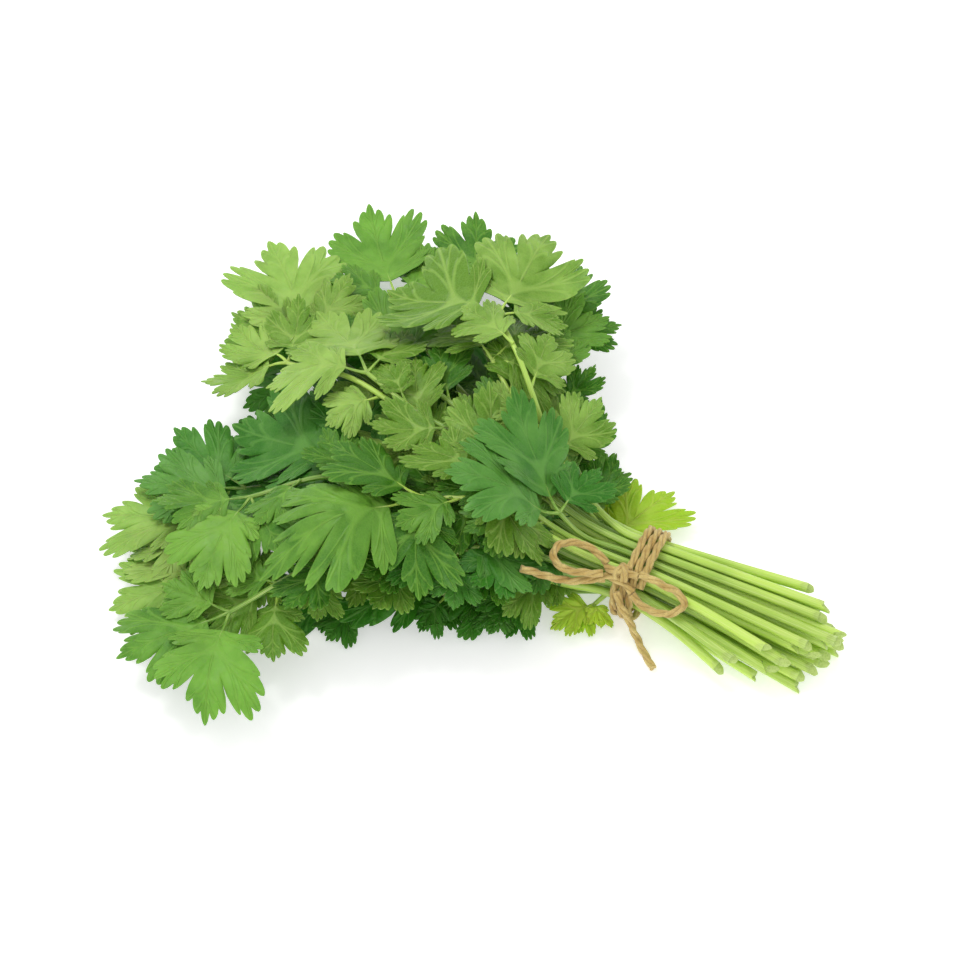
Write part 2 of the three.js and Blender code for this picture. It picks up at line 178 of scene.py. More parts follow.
BOW = {
    "bow_loop_left": [
        (-9.2, -11, 28.5), (-15, -9, 30.5), (-22, -9.5, 32), (-27.5, -14, 33), (-27, -19.5, 32.5),
        (-22, -21.5, 31), (-15.5, -18.8, 29), (-9, -15.4, 27.8),
    ],
    "bow_loop_right": [
        (3.9, -11.4, 29.3), (8, -11.2, 29.3), (14, -11.2, 28), (19.5, -11.5, 27), (22.5, -14, 24.5),
        (18.5, -18.3, 22.5), (12, -19, 21.5), (6.4, -17.9, 22), (3.4, -17, 24.4),
    ],
    "tail_left": [
        (-8.4, -14.6, 24.2), (-13, -17.5, 24.4), (-18.5, -22, 26), (-25, -26, 29.5), (-30, -28.5, 32.5),
        (-35, -30.5, 34.7),
    ],
    "tail_right": [
        (-2.4, -17.6, 23), (0.4, -19.8, 19), (3.6, -20.4, 14), (7.6, -21.4, 6.4), (11.8, -23.8, 1.9),
        (18, -29.2, 1.8),
    ],
}

# Light: its way from the bunch and its size, in metres, and its power
LIGHTS = {"key": ((-0.5, 0.15, 1.0), 0.3, 3.7), "fill": ((0.3, -0.7, 0.6), 1.0, 1)}
SKY = 0.83
FLOOR = 6  # half the floor's width, in metres

# Meshes
STEPS = {"stem": 60, "stalk": 12, "turn": 96, "bow": 40, "knot": 30, "fibre": 4}  # along each route
SIDES = {"stem": 18, "stalk": 6, "vein": 4, "ply": 10, "fibre": 3}
FINE = 12  # a step of a route is measured in so many smaller ones
SHARP = 50  # faces that turn by more degrees than this meet at a sharp edge
SAME_PLACE = 1e-7  # vertices nearer than this, in metres, become one
ROUNDING = 1e-6  # how far a computed place may be off
UNDER, VEIN = 1, 2  # a leaf's second and third material, after that of its upper face
CUT = 1  # a stem's second material

# Sizes of the finishes' patterns
LEAF_PATCH = 12.5
LEAF_NET = 1.25  # the meshes between a leaf's finest veins
LEAF_PORE = 3.33  # far coarser than real pores, which are too fine to show
STEM_PATCH = 22.2
STALK_STREAKS = (6.0, 22.0, 1.0)  # so many along a stalk and round it: 0.5 mm wide where a stem is cut
SHADED = (-40, 50)  # between these places along x the stems pale to the colour of their cut side
CUT_STRING = 0.455  # from one string to the next in a cut stalk
JUTE_PATCH = 4.55
JUTE_FIBRES = (22.0, 9.0, 1.0)  # how many patches of fibres follow each other along a ply, and round it
JUTE_SLANT = 0.3  # of the fibres, in radians
USUAL_LOBE = 12.0  # how wide a lobe is at its edge
VEIN_CORE = 0.1  # so far off its middle a vein has its full strength
VEINS = (  # where a vein leaves its lobe's main vein, how far off that it ends, its width and strength
    (0.0, 0.0, 0.4, 1.0), (0.5, 0.2, 0.32, 0.7), (0.15, 0.4, 0.32, 0.7),
)


# ---------------------------------------------------------------- numbers

def mix(a, b, t):
    return a + (b - a) * t


def rising(value, start, end):
    """0 up to the start, 1 from the end on, and a smooth rise between them."""
    t = min(1, max(0, (value - start) / (end - start)))
    return t * t * (3 - 2 * t)


def vary(*seed):
    """A number from -1 to 1 that looks random and is always the same for the same seed."""
    s = math.sin(sum(n * k for n, k in zip(seed, (12.9898, 78.233, 37.719)))) * 43758.5453
    return 2 * (s - math.floor(s)) - 1


def about(usual, spread, *seed):
    """The usual value, moved up or down by up to the spread."""
    return usual + spread * vary(*seed)


# ---------------------------------------------------------------- camera, light and floor

def make_camera():
    turn = Euler((math.radians(-CAMERA["elevation"]), 0, math.radians(CAMERA["azimuth"])))
    back = Vector((0, -1, 0))
    back.rotate(turn)
    camera = bpy.data.objects.new("camera", bpy.data.cameras.new("camera"))
    camera.data.lens = CAMERA["lens"]
    camera.data.sensor_width = 36
    camera.location = (Vector(CAMERA["target"]) + back * CAMERA["distance"]) * MM
    camera.rotation_euler = back.to_track_quat("Z", "Y").to_euler()
    bpy.context.collection.objects.link(camera)
    bpy.context.scene.camera = camera


def make_light(name, place, size, power):
    """A square soft light over the bunch, turned to its middle."""
    lamp = bpy.data.lights.new(name, "AREA")
    lamp.size, lamp.energy = size, power
    light = bpy.data.objects.new(name, lamp)
    light.location = Vector(CAMERA["target"]) * MM + Vector(place)
    light.rotation_euler = Vector(place).to_track_quat("Z", "Y").to_euler()
    bpy.context.collection.objects.link(light)


# ---------------------------------------------------------------- routes and tubes

def route_point(points, t):
    """A point of the smooth curve through the points, at t from 0 to 1: a centripetal spline."""
    place = t * (len(points) - 1)
    i = min(int(place), len(points) - 2)
    w = place - i
    b, c = points[i], points[i + 1]
    a = points[i - 1] if i > 0 else 2 * b - c
    d = points[i + 2] if i + 2 < len(points) else 2 * c - b
    ab, bc, cd = (math.sqrt((q - p).length) for p, q in ((a, b), (b, c), (c, d)))
    at_b = ((b - a) / ab - (c - a) / (ab + bc) + (c - b) / bc) * bc
    at_c = ((c - b) / bc - (d - b) / (bc + cd) + (d - c) / cd) * bc
    return b + at_b * w + (3 * (c - b) - 2 * at_b - at_c) * w ** 2 + (2 * (b - c) + at_b + at_c) * w ** 3


def even_route(points, count):
    """count + 1 points at even distances along the smooth curve through the points."""
    points = [Vector(p) for p in points]
    fine = [route_point(points, i / (FINE * count)) for i in range(FINE * count + 1)]
    walked = [0]
    for p, q in zip(fine, fine[1:]):
        walked.append(walked[-1] + (q - p).length)
    made, i = [], 0
    for k in range(count + 1):
        wanted = walked[-1] * k / count
        while i < len(fine) - 2 and walked[i + 1] < wanted:
            i += 1
        made.append(fine[i].lerp(fine[i + 1], (wanted - walked[i]) / (walked[i + 1] - walked[i])))
    return made


def length_of(route):
    return sum((q - p).length for p, q in zip(route, route[1:]))


def frames_along(route):
    """Each point of a route with its direction and the two directions across it, without twist."""
    made, side = [], None
    for i, point in enumerate(route):
        along = (route[min(i + 1, len(route) - 1)] - route[max(i - 1, 0)]).normalized()
        side = along.orthogonal() if side is None else side - side.dot(along) * along
        side.normalize()
        made.append((point, along, side, side.cross(along)))
    return made


def sheet(bm, columns, rows, place):
    """A grid bent so that it goes through place(u, v), with u and v from 0 to 1, its UV map."""
    bm.loops.layers.uv.verify()
    made = bmesh.ops.create_grid(bm, x_segments=columns, y_segments=rows, size=0.5, calc_uvs=True)
    for vert in made["verts"]:
        vert.co = place(vert.co.x + 0.5, vert.co.y + 0.5) * MM
    return made["verts"]


def faces_at(verts):
    """The faces at those vertices, each once and always in the same order."""
    return list(dict.fromkeys(face for vert in verts for face in vert.link_faces))


def tube(bm, route, sides, radius_at, middle_at=None):
    """A closed tube along a route, whose radius is radius_at(share of its length, angle).
    middle_at(share, side, up) moves its middle off the route, as a ply's is in a twine.
    Its two end faces are given back."""
    ways = frames_along(route)

    def place(u, v):
        point, along, side, up = ways[round(u * (len(ways) - 1))]
        if middle_at:
            point = point + middle_at(u, side, up)
        angle = -v * math.tau
        return point + (side * math.cos(angle) + up * math.sin(angle)) * radius_at(u, angle)

    verts = sheet(bm, len(route) - 1, sides, place)
    faces = faces_at(verts)
    bmesh.ops.remove_doubles(bm, verts=verts, dist=SAME_PLACE)
    edges = dict.fromkeys(edge for face in faces if face.is_valid for edge in face.edges)
    rims = [edge for edge in edges if edge.is_boundary]
    return bmesh.ops.holes_fill(bm, edges=rims, sides=0)["faces"]


def add_piece(name, bm, materials, nodes):
    """The mesh as a smooth-shaded piece that stands for those CAD nodes, kept above the surface."""
    for vert in bm.verts:
        vert.co.z = max(vert.co.z, 0)
    for face in bm.faces:
        face.smooth = True
    for edge in bm.edges:
        edge.smooth = edge.calc_face_angle(0) < math.radians(SHARP)
    mesh = bpy.data.meshes.new(name)
    bm.to_mesh(mesh)
    bm.free()
    for material in materials:
        mesh.materials.append(material)
    piece = bpy.data.objects.new(name, mesh)
    bpy.context.collection.objects.link(piece)
    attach(piece, "root")
    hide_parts(*nodes)
    return piece


# ---------------------------------------------------------------- twine

def lay_plies(bm, route, start=0):
    """The twine's plies, wound round each other along a route."""
    length = length_of(route)
    ply = TWINE / 2 / (1 + 1 / math.sin(math.pi / PLIES))
    off = TWINE / 2 - ply
    for k in range(PLIES):
        def middle_at(u, side, up):
            angle = start + math.tau * (k / PLIES + u * length / LAY)
            return (side * math.cos(angle) + up * math.sin(angle)) * off

        def radius_at(u, angle):
            usual, spread = PLY_FULLNESS
            return ply * (usual + spread * math.sin(u * length * PLY_WAVES + 2 * k + 2 * angle))

        tube(bm, route, SIDES["ply"], radius_at, middle_at)


def lay_fuzz(bm, route, seed):
    """Fine jute fibres that stand off the twine."""
    ways = frames_along(route)
    for i in range(int(length_of(route) / FIBRE_PITCH)):
        point, along, side, up = ways[int(about(0.5, 0.5, i, seed) * (len(ways) - 1))]
        angle = vary(i, seed, 1) * math.pi
        out = side * math.cos(angle) + up * math.sin(angle)
        lean = along * vary(i, seed, 2) * FIBRE_LEAN + out * about(*FIBRE_RISE, i, seed, 3)
        root = point + out * TWINE * FIBRE_ROOT
        middle = root + lean / 2 + out * FIBRE_ARCH
        fibre = even_route([root, middle, root + lean], STEPS["fibre"])
        if fibre[-1].z > FIBRE_RADII[0]:
            tube(bm, fibre, SIDES["fibre"], lambda u, _: mix(*FIBRE_RADII, u))


def twine_piece(node, routes, material, fuzz_seed):
    bm = bmesh.new()
    for k, route in enumerate(routes):
        lay_plies(bm, route, start=k)
        lay_fuzz(bm, route, fuzz_seed + k)
    return add_piece(f"jute_{node}", bm, [material], [node])


def make_bow(material):
    for k, (node, points) in enumerate(BOW.items()):
        route = even_route(points, STEPS["bow"])
        piece = twine_piece(node, [route], material, fuzz_seed=10 + k)


def wrap_route(turn):
    """One turn round the stems: a rounded box in the plane across them, slanted by one pitch."""
    def power(v):
        return math.copysign(abs(v) ** (2 / WRAP["bend"]), v)

    points = []
    for i in range(WRAP_POINTS + 1):
        angle = WRAP_START + i / WRAP_POINTS * 360
        x = (turn - (WRAP["turns"] - 1) / 2 + (angle - WRAP_BOTTOM) / 360) * WRAP["pitch"]
        z = WRAP["bottom"] + WRAP["height"] / 2 * (1 + power(math.sin(math.radians(angle))))
        points.append((x, WRAP["width"] / 2 * power(math.cos(math.radians(angle))), z))
    return [Vector((p.x, p.y, max(p.z, TWINE / 2))) for p in even_route(points, STEPS["turn"])]


def knot_routes():
    """The bow's knot: two short turns over each other, and the two strands that they hold."""
    deep, high = KNOT_SHAPE
    made = []
    for lean, swing, radius in KNOT_TURNS:
        ring = []
        for i in range(KNOT_POINTS + 1):
            angle = math.tau * i / KNOT_POINTS
            side, up = math.cos(angle) * radius, math.sin(angle) * radius * high
            ring.append((up * swing + side * lean, -side * deep, up))
        made.append(ring)
    made += KNOT_STRANDS
    return [even_route([Vector(KNOT) + Vector(p) for p in points], STEPS["knot"]) for points in made]


# ---------------------------------------------------------------- the pile's level surfaces

def level_height(x, y, level):
    """The height of a level of the pile over a point of the surface."""
    rho = math.hypot(x, y)
    spacing = mix(ROW_PITCH, LEAF_PITCH, rising(rho, *SPREADING))
    spacing -= (LEAF_PITCH - RIM_PITCH) * rising(rho, *CLOSING)
    base = mix(LOWEST_STEM, LOWEST_LEAF, rising(rho, *SINKING))
    swell = sum(rise * math.sin(x / along + y / across + start) for rise, along, across, start in HUMPS)
    return base + level * (spacing + swell * rising(rho, *SWELLING))



# ---------------------------------------------------------------- leafy stems

class Plan:
    """A leafy stem: its fork, its level in the pile, its tone, and the leaflets of its top, each with
    heading in degrees from +X, length, length of its stalk and rise of its tip."""

    def __init__(self, x, y, level, tone, *leaflets):
        self.fork, self.level, self.tone, self.leaflets = (x, y), level, tone, leaflets


# From the front to the back of each row, and from the lowest row up.
ROWS = (
    (
        Plan(-44, -27, 0.4, "deep", (200, 30, 6, 0), (236, 20, 5, -1), (285, 14, 4, -1)),
        Plan(-92, -46, 0, "deep", (206, 30, 8, -1), (255, 18, 6, 0), (160, 26, 8, -1)),
        Plan(-138, -4, 0.1, "deep", (180, 34, 8, -1), (237, 30, 8, -1), (125, 30, 8, -1)),
        Plan(-18, 15, 0.1, "lime", (78, 30, 4, 1), (130, 28, 5, 1)),
    ),
    (
        Plan(-12, -14, 0.4, "lime", (230, 16, 3, -1), (258, 12, 2, -2), (298, 9, 2, -2)),
        Plan(-62, -36, 0.9, "deep", (200, 40, 8, 0), (255, 14, 5, -1)),
        Plan(-142, -66, 1.3, "light", (222, 32, 9, -2), (178, 28, 8, -1), (272, 26, 8, -2)),
        Plan(-104, -20, 0.9, "deep", (190, 30, 8, 0), (243, 26, 8, 0), (137, 28, 8, 0)),
        Plan(-152, 40, 0.6, "deep", (168, 30, 8, -1), (117, 32, 8, -1), (222, 26, 8, -1)),
        Plan(-92, 64, 0.3, "deep", (118, 32, 8, -1), (62, 26, 8, -1), (177, 30, 8, 0)),
    ),
    (
        Plan(-116, -66, 2.3, "light", (218, 28, 8, -1), (285, 24, 7, -2), (168, 24, 7, 0)),
        Plan(-154, -48, 1.8, "light", (188, 34, 8, -1), (238, 26, 7, -1), (142, 24, 7, 0)),
        Plan(-120, 8, 2.3, "deep", (175, 28, 8, 0), (236, 26, 8, 0), (118, 28, 8, 0)),
        Plan(-84, 28, 1.8, "fresh", (145, 30, 8, 0), (208, 26, 7, 0)),
        Plan(-128, 60, 1.3, "deep", (160, 28, 8, 0), (105, 30, 8, 0), (215, 24, 7, 0)),
        Plan(-67, 46, 0.95, "fresh", (76, 24, 7, -1), (28, 18, 6, -1), (128, 24, 7, 0)),
        Plan(-118, 98, 1.9, "fresh", (100, 34, 9, 0), (150, 28, 8, -1), (48, 24, 7, 0)),
    ),
    (
        Plan(-128, -82, 3.2, "fresh", (279, 38, 9, -4), (232, 34, 9, -5), (184, 20, 7, 0)),
        Plan(-150, -28, 2.9, "deep", (202, 34, 8, 0), (164, 32, 8, 0), (262, 28, 8, -1)),
        Plan(-162, 46, 3.2, "light", (130, 46, 9, 2), (183, 28, 8, 0), (80, 26, 8, 1)),
        Plan(-142, 84, 2.6, "fresh", (132, 42, 9, 2), (75, 28, 8, 1), (190, 22, 7, 0)),
        Plan(-78, 70, 3.4, "fresh", (58, 26, 8, 1), (105, 34, 8, 2), (8, 14, 6, 0)),
        Plan(-76, 82, 2.7, "fresh", (86, 34, 8, 0), (45, 22, 8, -1), (132, 28, 8, 0)),
    ),
    (
        Plan(-58, -32, 4.0, "deep", (208, 24, 7, 0), (285, 18, 6, -1), (8, 26, 6, 0)),
        Plan(-142, -38, 4.1, "fresh", (264, 34, 9, -1), (312, 26, 8, -2), (214, 28, 8, 0)),
        Plan(-112, -12, 3.4, "deep", (180, 46, 10, 0), (124, 28, 8, 0), (234, 28, 8, 0)),
        Plan(-84, 9, 3.7, "light", (205, 32, 7, 0), (155, 26, 7, 0), (262, 22, 6, 0)),
        Plan(-160, 26, 4.4, "light", (152, 28, 7, 1), (203, 26, 7, 0), (103, 25, 7, 1)),
        Plan(-126, 42, 4.0, "fresh", (102, 34, 8, 4), (157, 24, 8, 1), (50, 22, 7, 1)),
        Plan(-80, 42, 4.7, "light", (15, 22, 6, 0), (140, 28, 8, 1), (75, 26, 7, 1)),
    ),
    (
        Plan(-78, -24, 5.0, "fresh", (231, 50, 13, -3), (285, 30, 7, -3), (178, 32, 7, 0)),
        Plan(-58, -10, 5.5, "light", (107, 32, 7, 0), (325, 25, 6, -1), (165, 26, 7, 0)),
        Plan(-32, -3, 6.4, "deep", (144, 36, 7, 0), (209, 34, 7, 0), (84, 20, 5, 0)),
        Plan(-122, 20, 4.9, "light", (133, 40, 9, 2), (82, 26, 8, 1), (195, 30, 8, 0)),
        Plan(-86, 60, 5.6, "light", (173, 44, 9, 0), (94, 46, 8, 4), (38, 20, 6, 0)),
    ),
)


def stem_route(row, column, count, plan):
    """A stem's points from its cut end, through its place in the tie, to its fork."""
    across = (column - (count - 1) / 2) * COLUMN_PITCH
    height = LOWEST_STEM + row * ROW_PITCH
    cut_across = CUT_SHIFT + across * CUT_SPREAD
    cut_reach = CUT_REACH - CUT_ROUND * cut_across ** 2 - CUT_STAGGER * ((row + column * 2) % 3)
    cut_height = CUT_RADIUS + row * CUT_PITCH
    half_across = mix(across, cut_across, HALF_WAY["spread"])
    half_across += HALF_WAY["sway"] * CUT_SWAY * vary(row, column, 1)
    points = [
        (cut_reach, cut_across + CUT_SWAY * vary(row, column, 0), cut_height),
        (cut_reach * HALF_WAY["reach"], half_across, mix(height, cut_height, HALF_WAY["rise"])),
        (0, across, height),
        (BEHIND_TIE, across, height + FANNING * row),
    ]
    fork_x, fork_y = plan.fork
    bend_x, bend_y = fork_x * BEND_AT["x"], fork_y * BEND_AT["y"] + across * BEND_AT["across"]
    for t in BEND_STEPS:
        x = (1 - t) ** 2 * BEHIND_TIE + 2 * t * (1 - t) * bend_x + t * t * fork_x
        y = (1 - t) ** 2 * across + 2 * t * (1 - t) * bend_y + t * t * fork_y
        settled = max(rising(math.hypot(x, y), *LEAVING), rising(t, *ARRIVING))
        points.append((x, y, level_height(x, y, mix(row, plan.level, settled))))
    return even_route(points, STEPS["stem"])


def stem_radius(share):
    if share < TIE_SHARE:
        return mix(CUT_RADIUS, TIE_RADIUS, share / TIE_SHARE)
    return mix(TIE_RADIUS, FORK_RADIUS, (share - TIE_SHARE) / (1 - TIE_SHARE))


def across_teeth(v):
    """t across the leaflet at v, from 0 to 1, where each tooth takes an equal part of v, and the
    number of its lobe with the place across that lobe."""
    q = v * TEETH
    for k, (start, end, teeth) in enumerate(LOBES):
        if q <= teeth + ROUNDING or k == len(LOBES) - 1:
            return mix(start, end, min(1, q / teeth)), k, min(1, q / teeth)
        q -= teeth


def off_vein(v):
    """How far v is from its lobe's main vein: 0 on it and 0.5 between two lobes."""
    return abs(across_teeth(v)[2] - 0.5)


class Leaflet:
    """One leaflet, lying on the leaves of its level. t runs from 1 to -1 round its edge: 0 is its tip,
    and its veins leave the midrib one after the other, so each point of the edge has its own vein."""

    def __init__(self, fork, level, shape, order, seed):
        self.fork, self.level = fork, level
        self.heading, self.length, self.stalk, self.rise = shape
        self.lift = LEAF_LIFT + order * SIBLING_STEP
        self.waves = min(self.length, WAVES)
        large = rising(self.length, *LARGEST)
        self.cuts = [
            (edge, (cut + more * large) * about(1, UNEVEN_CUTS, seed, 1 + k))
            for k, (edge, cut, more) in enumerate(CUTS)
        ]
        self.teeth = [about(1, UNEVEN_TEETH, seed, 40 + k) for k in range(TEETH + 1)]
        self.sides = [about(1, UNEVEN_SIDES, seed, 34 + k) for k in range(2)]
        self.tilts = [TILT * vary(seed, 10 + k) for k in range(len(LOBES))]
        self.fold = FOLD * vary(seed, 33)
        self.roll = ROLL * vary(seed, 9)
        self.bend = BEND * vary(seed, 8)
        self.phase = math.pi * vary(seed, 6)
        # Painted shade: the tone is lowered, so the leaflet is darker, the nearer its fork is to the tie.
        self.tone = vary(seed, 7) - rising(fork[0], *LEAF_SHADE_NEAR_TIE)

    def at(self, along, across, relief=0):
        """The place of a point along and across the leaflet's stalk."""
        across = across + self.bend * along * along / self.length
        cos, sin = math.cos(math.radians(self.heading)), math.sin(math.radians(self.heading))
        x = self.fork[0] + along * cos - across * sin
        y = self.fork[1] + along * sin + across * cos
        out = math.hypot(max(0, along - self.stalk), across) / self.length
        curl = self.rise * out * out - CURL * (across / self.length) ** 2
        curl += self.fold * abs(across) + self.roll * across
        freed = rising(math.hypot(along, across), 0, self.stalk + FREED * self.length)
        lying = level_height(x, y, self.level) + self.lift + curl + relief
        height = mix(level_height(*self.fork, self.level), lying, freed)
        return Vector((x, y, min(HIGHEST, max(LOWEST_BLADE, height))))

    def reach(self, share, v, t, across_lobe):
        """How far out along its vein a point is, at share of the way to the edge."""
        side = abs(t)
        whole = mix(1 - MIDRIB, SIDE_REACH, rising(side, *SIDE_VEINS))
        whole *= mix(1, LOW_REACH, rising(side, *LOW_VEINS))
        if side > MIDDLE:
            whole *= self.sides[t > 0]
        for edge, cut in self.cuts:
            whole *= 1 - cut * max(0, 1 - abs(side - edge) / CLEFT) ** 2
        whole *= 1 - LOBE_ROUND * share * (2 * across_lobe - 1) ** 2
        q = v * TEETH
        notch = TOOTH * self.teeth[round(q)] * abs(2 * (q % 1) - 1) ** TOOTH_BEND
        return share * self.length * whole * (TOOTH_TIP - notch * share * share)

    def place(self, share, v):
        """A point of the blade: share of the way from the midrib to the edge, and v round the edge."""
        t, lobe, across_lobe = across_teeth(v)
        reach = self.reach(share, v, t, across_lobe)
        start = self.length * MIDRIB * (1 - abs(t)) ** VEIN_PACE
        along, across = start + reach * math.cos(t * FAN), reach * math.sin(t * FAN)
        ruffle = RUFFLE * self.waves * share ** 2 * math.sin(RUFFLES * t + self.phase)
        tilt = self.tilts[lobe] * self.waves * share ** 2 * math.sin(math.pi * across_lobe)
        quilt = QUILTING * math.sin(math.pi * share) * abs(math.cos(math.pi * across_lobe))
        return self.at(self.stalk + along, across, ruffle + tilt + quilt)

    def rib(self, lobe, rings):
        """The route of a lobe's main vein, from the midrib towards its tip."""
        teeth = [teeth for _, _, teeth in LOBES]
        v = (sum(teeth[:lobe]) + teeth[lobe] / 2) / TEETH
        return [self.place(i / rings, v) for i in range(rings)]

    def stalk_route(self):
        """The leaflet's stalk, and its midrib to where the last vein leaves it."""
        far = self.stalk + MIDRIB * self.length
        return [self.at(far * i / STEPS["stalk"], 0) for i in range(STEPS["stalk"] + 1)]


def add_blade(bm, leaflet, rings, columns_per_tooth, ribbed_lobes):
    """A leaflet's blade with its upper face and its paler underside, and the raised main veins of
    some of its lobes."""
    tone, off = (bm.verts.layers.float[name] for name in ("tone", "off_vein"))
    uv = bm.loops.layers.uv.verify()
    verts = sheet(bm, rings, TEETH * columns_per_tooth, leaflet.place)
    for vert in verts:
        vert[tone] = leaflet.tone
        vert[off] = off_vein(vert.link_loops[0][uv].uv.y)
    faces = faces_at(verts)
    bmesh.ops.remove_doubles(bm, verts=verts, dist=SAME_PLACE)
    faces = [face for face in faces if face.is_valid]
    walls = bmesh.ops.solidify(bm, geom=faces, thickness=BLADE * MM)["geom"]
    for wall in walls:
        if isinstance(wall, bmesh.types.BMFace):
            wall.material_index = UNDER
    before = set(bm.faces)
    for lobe in ribbed_lobes:
        tube(bm, leaflet.rib(lobe, rings), SIDES["vein"], lambda u, _: mix(*RIB_RADII, u))
    for face in set(bm.faces) - before:
        face.material_index = VEIN


def side_leaflets(route, row, plan, seed):
    """Small leaflets on short stalks along the stem, below its top."""
    made = []
    for k, share in enumerate(SIDE_SHARES):
        i = int(share * (len(route) - 1))
        point, ahead = route[i], route[i + 1] - route[i]
        if point.x > -mix(*BARE_REACH, row / (len(ROWS) - 1)):
            continue
        side = 1 if (seed + k) % 2 else -1
        heading = math.degrees(math.atan2(ahead.y, ahead.x)) + side * about(*SIDE_TURN, seed, k, 2)
        rho = math.hypot(point.x, point.y)
        level = mix(row, plan.level, rising(rho, *LEAVING))
        raised = rising(rho, *RISING) * (1 - rising(rho, *LEVELLING))
        rise = raised * about(*SIDE_RISE, seed, k, 4) if level < TOP_LEVEL else 0
        shape = (heading, about(*SIDE_LENGTH, seed, k, 3), SIDE_STALK, rise)
        made.append(Leaflet((point.x, point.y), level, shape, SIDE_ORDER * side, seed + 0.3 * k))
    return made


def make_leafy_stem(number, row, column, count, plan, finishes):
    """A leafy stem in two pieces, its leaves and its stem with their stalks, for the same CAD node."""
    node = f"leafy_stem_{number:02d}"
    route = stem_route(row, column, count, plan)
    tops = [
        Leaflet(plan.fork, plan.level, shape, order, 10 * number + order)
        for shape, order in zip(plan.leaflets, SIBLING_ORDER)
    ]
    small = side_leaflets(route, row, plan, 11 * number + 5)
    leaves = leaf_mesh(tops, small)
    add_piece(f"leaves_{number:02d}", leaves, finishes[plan.tone], [node])
    stem = stem_mesh(route, [leaflet.stalk_route() for leaflet in tops + small], number)
    add_piece(f"stem_{number:02d}", stem, [finishes["stem"], finishes["cut"]], [node])


def put_in_order(bm):
    """Sorts edges and faces by their vertices, since those of a thickened sheet come in any order."""
    bm.verts.index_update()
    count = len(bm.verts)

    def place_of(part):
        """By the lowest vertex, then the highest, then the sum, which stays under 4 times count."""
        indices = [vert.index for vert in part.verts]
        return (min(indices) * count + max(indices)) * 4 * count + sum(indices)

    for parts in (bm.edges, bm.faces):
        parts.sort(key=place_of)


def leaf_mesh(tops, small):
    """The blades of a stem's large and small leaflets, with their own tone and their way off a vein."""
    bm = bmesh.new()
    for name in ("tone", "off_vein"):
        bm.verts.layers.float.new(name)
    for leaflet in tops:
        add_blade(bm, leaflet, **LARGE_BLADE)
    for leaflet in small:
        add_blade(bm, leaflet, **SMALL_BLADE)
    put_in_order(bm)
    return bm


def stem_mesh(route, stalks, seed):
    """A softly ridged stem with its cut end, and the stalks of its leaflets."""
    bm = bmesh.new()
    tone = bm.verts.layers.float.new("tone")

    def radius_at(u, angle):
        return stem_radius(u) * (1 + RIB_DEPTH * math.cos(RIBS * angle))

    ends = tube(bm, route, SIDES["stem"], radius_at)
    cut_end(bm, min(ends, key=lambda end: (end.calc_center_median() - route[0] * MM).length), route, seed)
    for stalk in stalks:
        tube(bm, stalk, SIDES["stalk"], lambda u, _: mix(*STALK_RADII, 1 - (1 - u) ** 2))
    for vert in bm.verts:
        vert[tone] = vary(seed, 3)
    return bm


def cut_end(bm, end, route, seed):
    """Slants a stem's end face, where its route starts, and hollows it a little."""
    inward = (route[1] - route[0]).normalized()
    radius = stem_radius(0)
    turn = math.pi / 2 * (1 + vary(seed, 5))
    for vert in end.verts:
        off = vert.co / MM - route[0]
        lean = off.y * math.cos(turn) + off.z * math.sin(turn)
        vert.co += inward * MM * CUT_SLANT / 2 * (lean + radius)
    end.material_index = CUT
    for width, depth in CUT_RINGS:
        ring = bmesh.ops.inset_region(bm, faces=[end], thickness=radius * width * MM, depth=depth * MM)
        for face in ring["faces"]:
            face.material_index = CUT


# ---------------------------------------------------------------- finishes

def linear(colour):
    """A hex colour as the shader's linear red, green, blue and alpha."""
    parts = [int(colour[i:i + 2], 16) / 255 for i in (1, 3, 5)]
    return [c / 12.92 if c <= 0.04045 else ((c + 0.055) / 1.055) ** 2.4 for c in parts] + [1]


def add(tree, kind, sockets=(), **settings):
    """Adds a shader node. A socket's value is another node's output, which is linked, or a plain value.
    Sockets have names or numbers: 1 to 4 of a MapRange are the start and end of what it is given, then
    of what it gives, and 0, 6 and 7 of a Mix are its share and its two colours."""
    made = tree.nodes.new("ShaderNode" + kind)
    for name, value in settings.items():
        setattr(made, name, value)
    for name, value in dict(sockets).items():
        if isinstance(value, bpy.types.NodeSocket):
            tree.links.new(value, made.inputs[name])
        else:
            made.inputs[name].default_value = value
    return made


def scale_of(size):
    """The scale of a pattern whose patches, cells or grains are so many millimetres wide."""
    return 1 / (size * MM)


def finish(name, build, values):
    """A material: build adds its nodes and gives the shader's linked sockets. values are its plain ones."""
    material = bpy.data.materials.new(name)
    material.use_nodes = True
    tree = material.node_tree
    shader = tree.nodes["Principled BSDF"]
    for socket, output in build(tree).items():
        tree.links.new(output, shader.inputs[socket])
    for socket, value in values.items():
        shader.inputs[socket].default_value = value
    return material


# How strong the light is that shines through a leaf or a stem, and how far it goes in it.
LEAF_GLOW = {"Subsurface Weight": 0.32, "Subsurface Radius": (0.5, 1, 0.15), "Subsurface Scale": 1.2 * MM}
STEM_GLOW = {"Subsurface Weight": 0.25, "Subsurface Radius": (0.8, 1, 0.3), "Subsurface Scale": 1.5 * MM}
LEAF_GLOSS = {"Specular IOR Level": 0.3}  # a leaf's waxy skin is duller than wet plastic or glass


